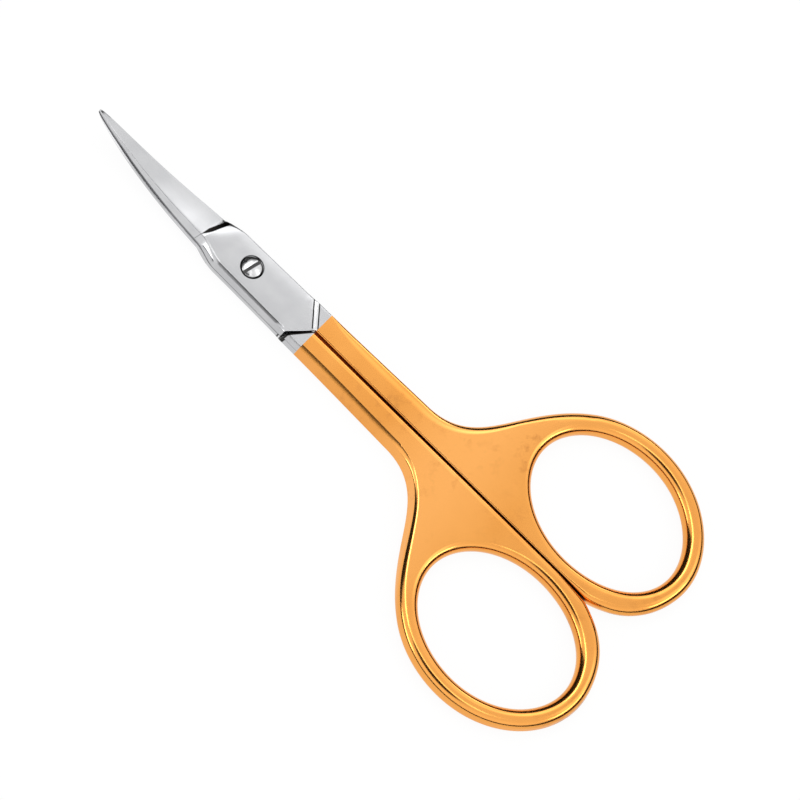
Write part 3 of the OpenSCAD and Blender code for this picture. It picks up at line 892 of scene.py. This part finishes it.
flare_line = []
for i in range(1, FLARE_STEPS + 1):
    t = i / FLARE_STEPS
    a, b = away(flare_out, turn, outer_run * RING_PULL), away(FLARE, flare_dir, -outer_run * RING_PULL)
    edge = mix(EDGE_RING, EDGE_FLARE, t), mix(RING_HEIGHT, FLARE_HIGH, t)
    lean = DRAFT * mix(RING_LEAN, 1, ease(1.5 * t - 0.5))
    flare_line.append((*bezier(flare_out, a, b, FLARE, t), *edge, *edge, 1, lean))
shank_line = []
for i in range(1, FLARE_STEPS + 1):
    t = i / FLARE_STEPS
    a, b = away(FLARE, flare_dir, inner_run * WAIST_PULL), away(root, (-1, 0), inner_run * ROOT_PULL)
    soft = mix(EDGE_FLARE, EDGE_SOFT, t), mix(FLARE_HIGH, SOFT_HIGH * EDGE_SOFT, t)
    firm = mix(EDGE_FLARE, SHANK_EDGE[0], t), mix(FLARE_HIGH, SHANK_EDGE[1], t)
    crown = mix(1, CHAMFER_CROWN, ease(2 * t - 1))
    shank_line.append((*bezier(FLARE, a, b, root, t), *soft, *firm, crown, mix(DRAFT, SHANK_LEAN, t)))
for i in range(1, SOFT_STEPS + 1):
    t = i / SOFT_STEPS
    soft = mix(EDGE_SOFT, EDGE_JOINT, t ** 4), mix(SOFT_HIGH * EDGE_SOFT, EDGE_JOINT, t ** 4)
    point = mix(-ROOT, -PLATING, t), mix(ROOT_HALF, SHANK_HALF, t)
    shank_line.append((*point, *soft, *SHANK_EDGE, CHAMFER_CROWN, mix(SHANK_LEAN, DRAFT, t ** 4)))
print("points over the flare and the shank:", len(flare_line) + len(shank_line))

# %% [markdown]
# A point of the outline holds eight numbers: where it is, how far its upper edge reaches in and
# down, the same for its lower edge, how round that one is, and how far the wall leans.

# %% Close the outline
split_xs = [p[0] for p in reversed(shank_line)]
split_xs += [mix(FLARE[0], ring_at(RING_FROM)[0], i / FLARE_STEPS) for i in range(FLARE_STEPS)]
handle_line = [(x, split_w(x), EDGE_JOINT, EDGE_JOINT, *SPLIT_EDGE, 1, 0) for x in split_xs]
for a in ring_angles:
    t = ease((RING_LOW - a) / FADE)
    over = mix(EDGE_JOINT, EDGE_RING, t) * (1 - RING_THIN * far(a)), mix(EDGE_JOINT, RING_HEIGHT, t)
    under = mix(SPLIT_EDGE[0], EDGE_RING, t), mix(SPLIT_EDGE[1], RING_HEIGHT, t)
    handle_line.append((*ring_at(a), *over, *under, 1, RING_LEAN * DRAFT * t))
handle_line += flare_line + shank_line

rim_angles = ring_angles + web_angles
rim_line = [(*hole_at(a), EDGE_RING, RING_HEIGHT, EDGE_RING, RING_HEIGHT, 1, 0) for a in rim_angles]
rim_lean = [RIM_LEAN * far(a) ** 2 for a in rim_angles]
print("points round a handle:", len(handle_line), "and round its hole:", len(rim_line))

# %% [markdown]
# Each outline point becomes a column of points from the top face, round the edge, down the wall
# and round to the lower face. Strips of quads then cover the walls, the band of the ring and the
# web, and they meet with no seam.

# %% Raise the columns of a handle
COLUMN = 2 * (EDGE_STEPS + 1)
LOW = COLUMN - 1


def column(point, out, lean_over=0.0):
    """The points over one place of the outline. out is the direction that the wall faces."""
    x, w, over_in, over_high, under_in, under_high, under_crown, lean = point
    over = rounded_edge(over_in, over_high, 1, EDGE_STEPS)
    over = [(i + lean_over, HALF - over_high + h) for i, h in over]
    under = rounded_edge(under_in, under_high, under_crown, EDGE_STEPS)
    under = [(i + lean, under_high - HALF - h) for i, h in under]
    return [(x - i * out[0], w - i * out[1], h) for i, h in over[::-1] + under]


def handle_columns():
    points, last = [], len(handle_line) - 1
    for i, p in enumerate(handle_line):
        if i in (0, last):
            out = (0, -1) if i == 0 else (0, 1)
        else:
            q, r = handle_line[i + 1], handle_line[i - 1]
            out = direction(-(q[1] - r[1]), q[0] - r[0])
        points += column(p, out)
    for a, p, lean in zip(rim_angles, rim_line, rim_lean):
        points += column(p, [-v for v in hole_normal(a)], lean)
    return points


handle_points = handle_columns()
print("a handle has", len(handle_points), "points")

# %% Skin a handle
def handle_skin():
    """Faces by the numbers of their points. out and hole give the first point of a column."""
    last, shank_n = len(handle_line) - 1, len(shank_line)
    rim, rim_n = len(handle_line) * COLUMN, len(rim_line)
    first, pairs = len(split_xs), len(ring_angles)

    def out(i):
        return i * COLUMN

    def hole(i):
        return rim + (i % rim_n) * COLUMN

    faces = []
    for i in range(last):
        faces += [(out(i) + k, out(i) + k + 1, out(i + 1) + k + 1, out(i + 1) + k) for k in range(LOW)]
    for i in range(rim_n):
        faces += [(hole(i) + k, hole(i + 1) + k, hole(i + 1) + k + 1, hole(i) + k + 1) for k in range(LOW)]
    top = [(out(first + i), out(first + i + 1), hole(i + 1), hole(i)) for i in range(pairs - 1)]
    for i in range(FLARE_STEPS):
        o, h = first + pairs - 1 + i, pairs - 1 + i
        top.append((out(o), out(o + 1), hole(h + 1), hole(h)))
        o, h = first - FLARE_STEPS + i, rim_n - FLARE_STEPS + i
        top.append((out(o), out(o + 1), hole(h + 1), hole(h)))
    for i in range(1, shank_n + 1):
        o = len(handle_line) - i
        top.append((out(o - 1), out(o), out(i - 1), out(i)))
    top.append((hole(rim_n - FLARE_STEPS), out(len(handle_line) - 1 - shank_n), out(shank_n)))
    faces += top + [tuple(v + LOW for v in reversed(face)) for face in top]
    faces += [(out(last) + k, out(last) + k + 1, k + 1, k) for k in range(LOW)]
    return faces


handle_faces = [tuple(reversed(face)) for face in handle_skin()]
print("and", len(handle_faces), "faces")

# %% Place both handles
for name, side, body, node in (
    ("upper_gold", 1, "upper_half", "upper_handle"),
    ("lower_gold", -1, "lower_half", "lower_handle"),
):
    moved = [(x, OFFSET - side * w, HALF + side * h) for x, w, h in handle_points]
    smooth_normals(piece_from(name, moved, handle_faces, gold, body, node, "gold"))

# %% [markdown]
# ## The studio
# A polished object is lit by what it mirrors. The room is a nearly even white, a little brighter
# low down, which gives each metal the colour that it is written with. Four round glows on its
# walls stand where single facets look, and lift those facets out of the plain grey.

# %% Paint the white room
ROOM_TOP, ROOM_LOW, TOP_LEVEL, LOW_LEVEL = 0.92, 0.55, 0.98, 1.14
GLOWS = ((278, 53, 4, 11, 0.45), (303, 50, 5, 19, 0.95), (275, 28, 4, 9, 1.6), (222, 50, 5, 16, 0.85))

world = bpy.data.worlds.new("white room")
world.use_nodes = True
background = world.node_tree.nodes["Background"]
background.inputs["Color"].default_value = (1, 1, 1, 1)
world_place = world.node_tree.nodes.new("ShaderNodeTexCoord")
sky = Wire(world.node_tree, world_place.outputs["Generated"])
bpy.context.scene.world = world


def heading(a, lift):
    """The direction a degrees round from the tips and lift degrees up."""
    a, lift = math.radians(a), math.radians(lift)
    return Vector((math.cos(a) * math.cos(lift), math.sin(a) * math.cos(lift), math.sin(lift)))


def glow(a, lift, inner, outer):
    """A round, soft patch on the wall: 1 inside the inner angle, and 0 outside the outer one."""
    near = sky.node("ShaderNodeVectorMath", {"operation": "DOT_PRODUCT"}, 1, _0=sky, _1=heading(a, lift))
    ends = dict(From_Min=math.cos(math.radians(outer)), From_Max=math.cos(math.radians(inner)))
    return near.node("ShaderNodeMapRange", {"interpolation_type": "SMOOTHSTEP"}, Value=near, **ends)


skyward = axes_of(sky)[2]
levels = dict(From_Min=ROOM_TOP, From_Max=ROOM_LOW, To_Min=TOP_LEVEL, To_Max=LOW_LEVEL)
walls = skyward.node("ShaderNodeMapRange", Value=skyward, **levels)
for *where, level in GLOWS:
    walls = walls + glow(*where) * level
plug(walls, background, "Strength")
print("glows on the walls:", len(GLOWS))

# %% [markdown]
# A black card stands round the set, bent as photographers do it, and its reflection gives the
# edges their thin dark lines. It is low at the sides, a little higher behind the rings and highest
# beyond the tips. Three softboxes look over it, and two lamps hang above. They draw the pale
# lines along the rounded edges.

# %% Hang the softboxes
SOFTBOX_TURNS, SOFTBOX_DISTANCE, SOFTBOX_LEVEL, OVER_CARD = (50, 198, 330), 0.7, 3.4, 7
CARD_LOW, CARD_HEEL, CARD_FRONT = 14, 14, 60
CARD_TURN, HEEL_TURN = math.radians(5), math.radians(205)
middle = (cad_low + cad_high) / 2


def card_top(a):
    """How high the card reaches above the horizon, in degrees, in the direction a in radians."""
    behind = CARD_HEEL * max(0.0, math.cos(a - HEEL_TURN)) ** 4
    a += CARD_TURN
    front = ((1 + math.cos(a)) / 2) ** (12 if math.sin(a) > 0 else 3)
    return behind + mix(CARD_LOW, CARD_FRONT, front)


def softbox(name, a, lift, width, height):
    """A soft lamp that faces the scissors, a degrees round from the tips and lift degrees up."""
    toward, a = heading(a, lift), math.radians(a)
    lamp = bpy.data.lights.new(name, "AREA")
    lamp.shape = "RECTANGLE"
    lamp.size, lamp.size_y = width, height
    lamp.energy = SOFTBOX_LEVEL * math.pi * width * height
    holder = bpy.data.objects.new(name, lamp)
    bpy.context.collection.objects.link(holder)
    across = Vector((-math.sin(a), math.cos(a), 0))
    holder.matrix_world = Matrix((across, toward.cross(across), toward)).transposed().to_4x4()
    holder.location = middle + SOFTBOX_DISTANCE * toward
    return lamp


for a in SOFTBOX_TURNS:
    lamp = softbox(f"softbox {a}", a, card_top(math.radians(a)) + OVER_CARD, 0.34, 0.12)
strip = softbox("strip above", 90, 84, 0.5, 0.08)
strip.energy *= 0.55
softbox("front above", 0, 69, 0.25, 0.1)
print("softboxes:", len(SOFTBOX_TURNS), "of", round(lamp.energy, 3), "watts each, and two lamps above")

# %% [markdown]
# The card and the camera's own dark hood are only seen in mirrors. They cast no shadow and take
# no light away, so the floor stays clean.

# %% Stand the black card round the set
BLACK = (0.01, 0.01, 0.01, 1)
CARD_RADIUS, CARD_FOOT, CARD_SIDES = 0.9, 0.02, 96

black, shader, _ = new_material("black_card")
shader.inputs["Base Color"].default_value = BLACK
shader.inputs["Roughness"].default_value = 1.0
shader.inputs["Specular IOR Level"].default_value = 0.0


def stand(name, points, faces, material):
    """A part of the studio. Points are in metres."""
    mesh = bpy.data.meshes.new(name)
    mesh.from_pydata(points, [], faces)
    made = bpy.data.objects.new(name, mesh)
    bpy.context.collection.objects.link(made)
    mesh.materials.append(material)
    return made


def only_in_mirrors(made):
    made.visible_camera = made.visible_diffuse = made.visible_shadow = False


card_points, card_faces = [], []
for i in range(CARD_SIDES):
    a = 2 * math.pi * i / CARD_SIDES
    top = CARD_RADIUS * math.tan(math.radians(card_top(a)))
    card_points += [(CARD_RADIUS * math.cos(a), CARD_RADIUS * math.sin(a), z) for z in (CARD_FOOT, top)]
    j = (i + 1) % CARD_SIDES
    card_faces.append((2 * i, 2 * j, 2 * j + 1, 2 * i + 1))
card = stand("card", card_points, card_faces, black)
card.location = (middle.x, middle.y, 0)
only_in_mirrors(card)
print("card reaches", CARD_LOW, "to", CARD_FRONT, "degrees up")

# %% Hold the hood before the camera
HOOD_DISTANCE, HOOD_SPREAD, HOOD_SIDES = 0.45, 15, 48

hood_r = HOOD_DISTANCE * math.tan(math.radians(HOOD_SPREAD))
turns = [2 * math.pi * i / HOOD_SIDES for i in range(HOOD_SIDES)]
hood_points = [(hood_r * math.cos(a), hood_r * math.sin(a), 0) for a in turns]
hood = stand("hood", hood_points, [tuple(range(HOOD_SIDES))], black)
hood.matrix_world = camera.matrix_world
hood.location = middle + HOOD_DISTANCE * from_above
only_in_mirrors(hood)
print("hood radius:", round(hood_r, 3), "m")

# %% [markdown]
# The floor is matte and pale. A plain studio floor would look grey in the picture, so towards the
# camera and in mirrors most of it is a white glow, which lights nothing. The rest stays matte, and
# carries a faint part of the object's soft shadow.

# %% Lay the floor
PALE = (0.80, 0.80, 0.80, 1)
FLOOR_REACH, FLOOR_DROP, FLOOR_GLOW = 1.6, 0.02 * MM, 0.93

pale, shader, place = new_material("pale_floor")
shader.inputs["Base Color"].default_value = PALE
shader.inputs["Roughness"].default_value = 1.0
shader.inputs["Specular IOR Level"].default_value = 0.0
seen = place.node("ShaderNodeLightPath")
seen = seen + seen.sibling("Is Glossy Ray") + seen.sibling("Is Transmission Ray")
lit = Wire(place.tree, shader.outputs["BSDF"])
white = place.node("ShaderNodeEmission", Color=(1, 1, 1, 1), Strength=1.0)
floor_look = place.node("ShaderNodeMixShader", _0=seen * FLOOR_GLOW, _1=lit, _2=white)
plug(floor_look, place.tree.nodes["Material Output"], "Surface")
floor_points = [(a * FLOOR_REACH, b * FLOOR_REACH, 0) for a, b in SQUARE]
floor = stand("floor", floor_points, [(0, 1, 2, 3)], pale)
floor.location.z = cad_low.z - FLOOR_DROP
print("floor lies at", round(floor.location.z / MM, 3), "mm")
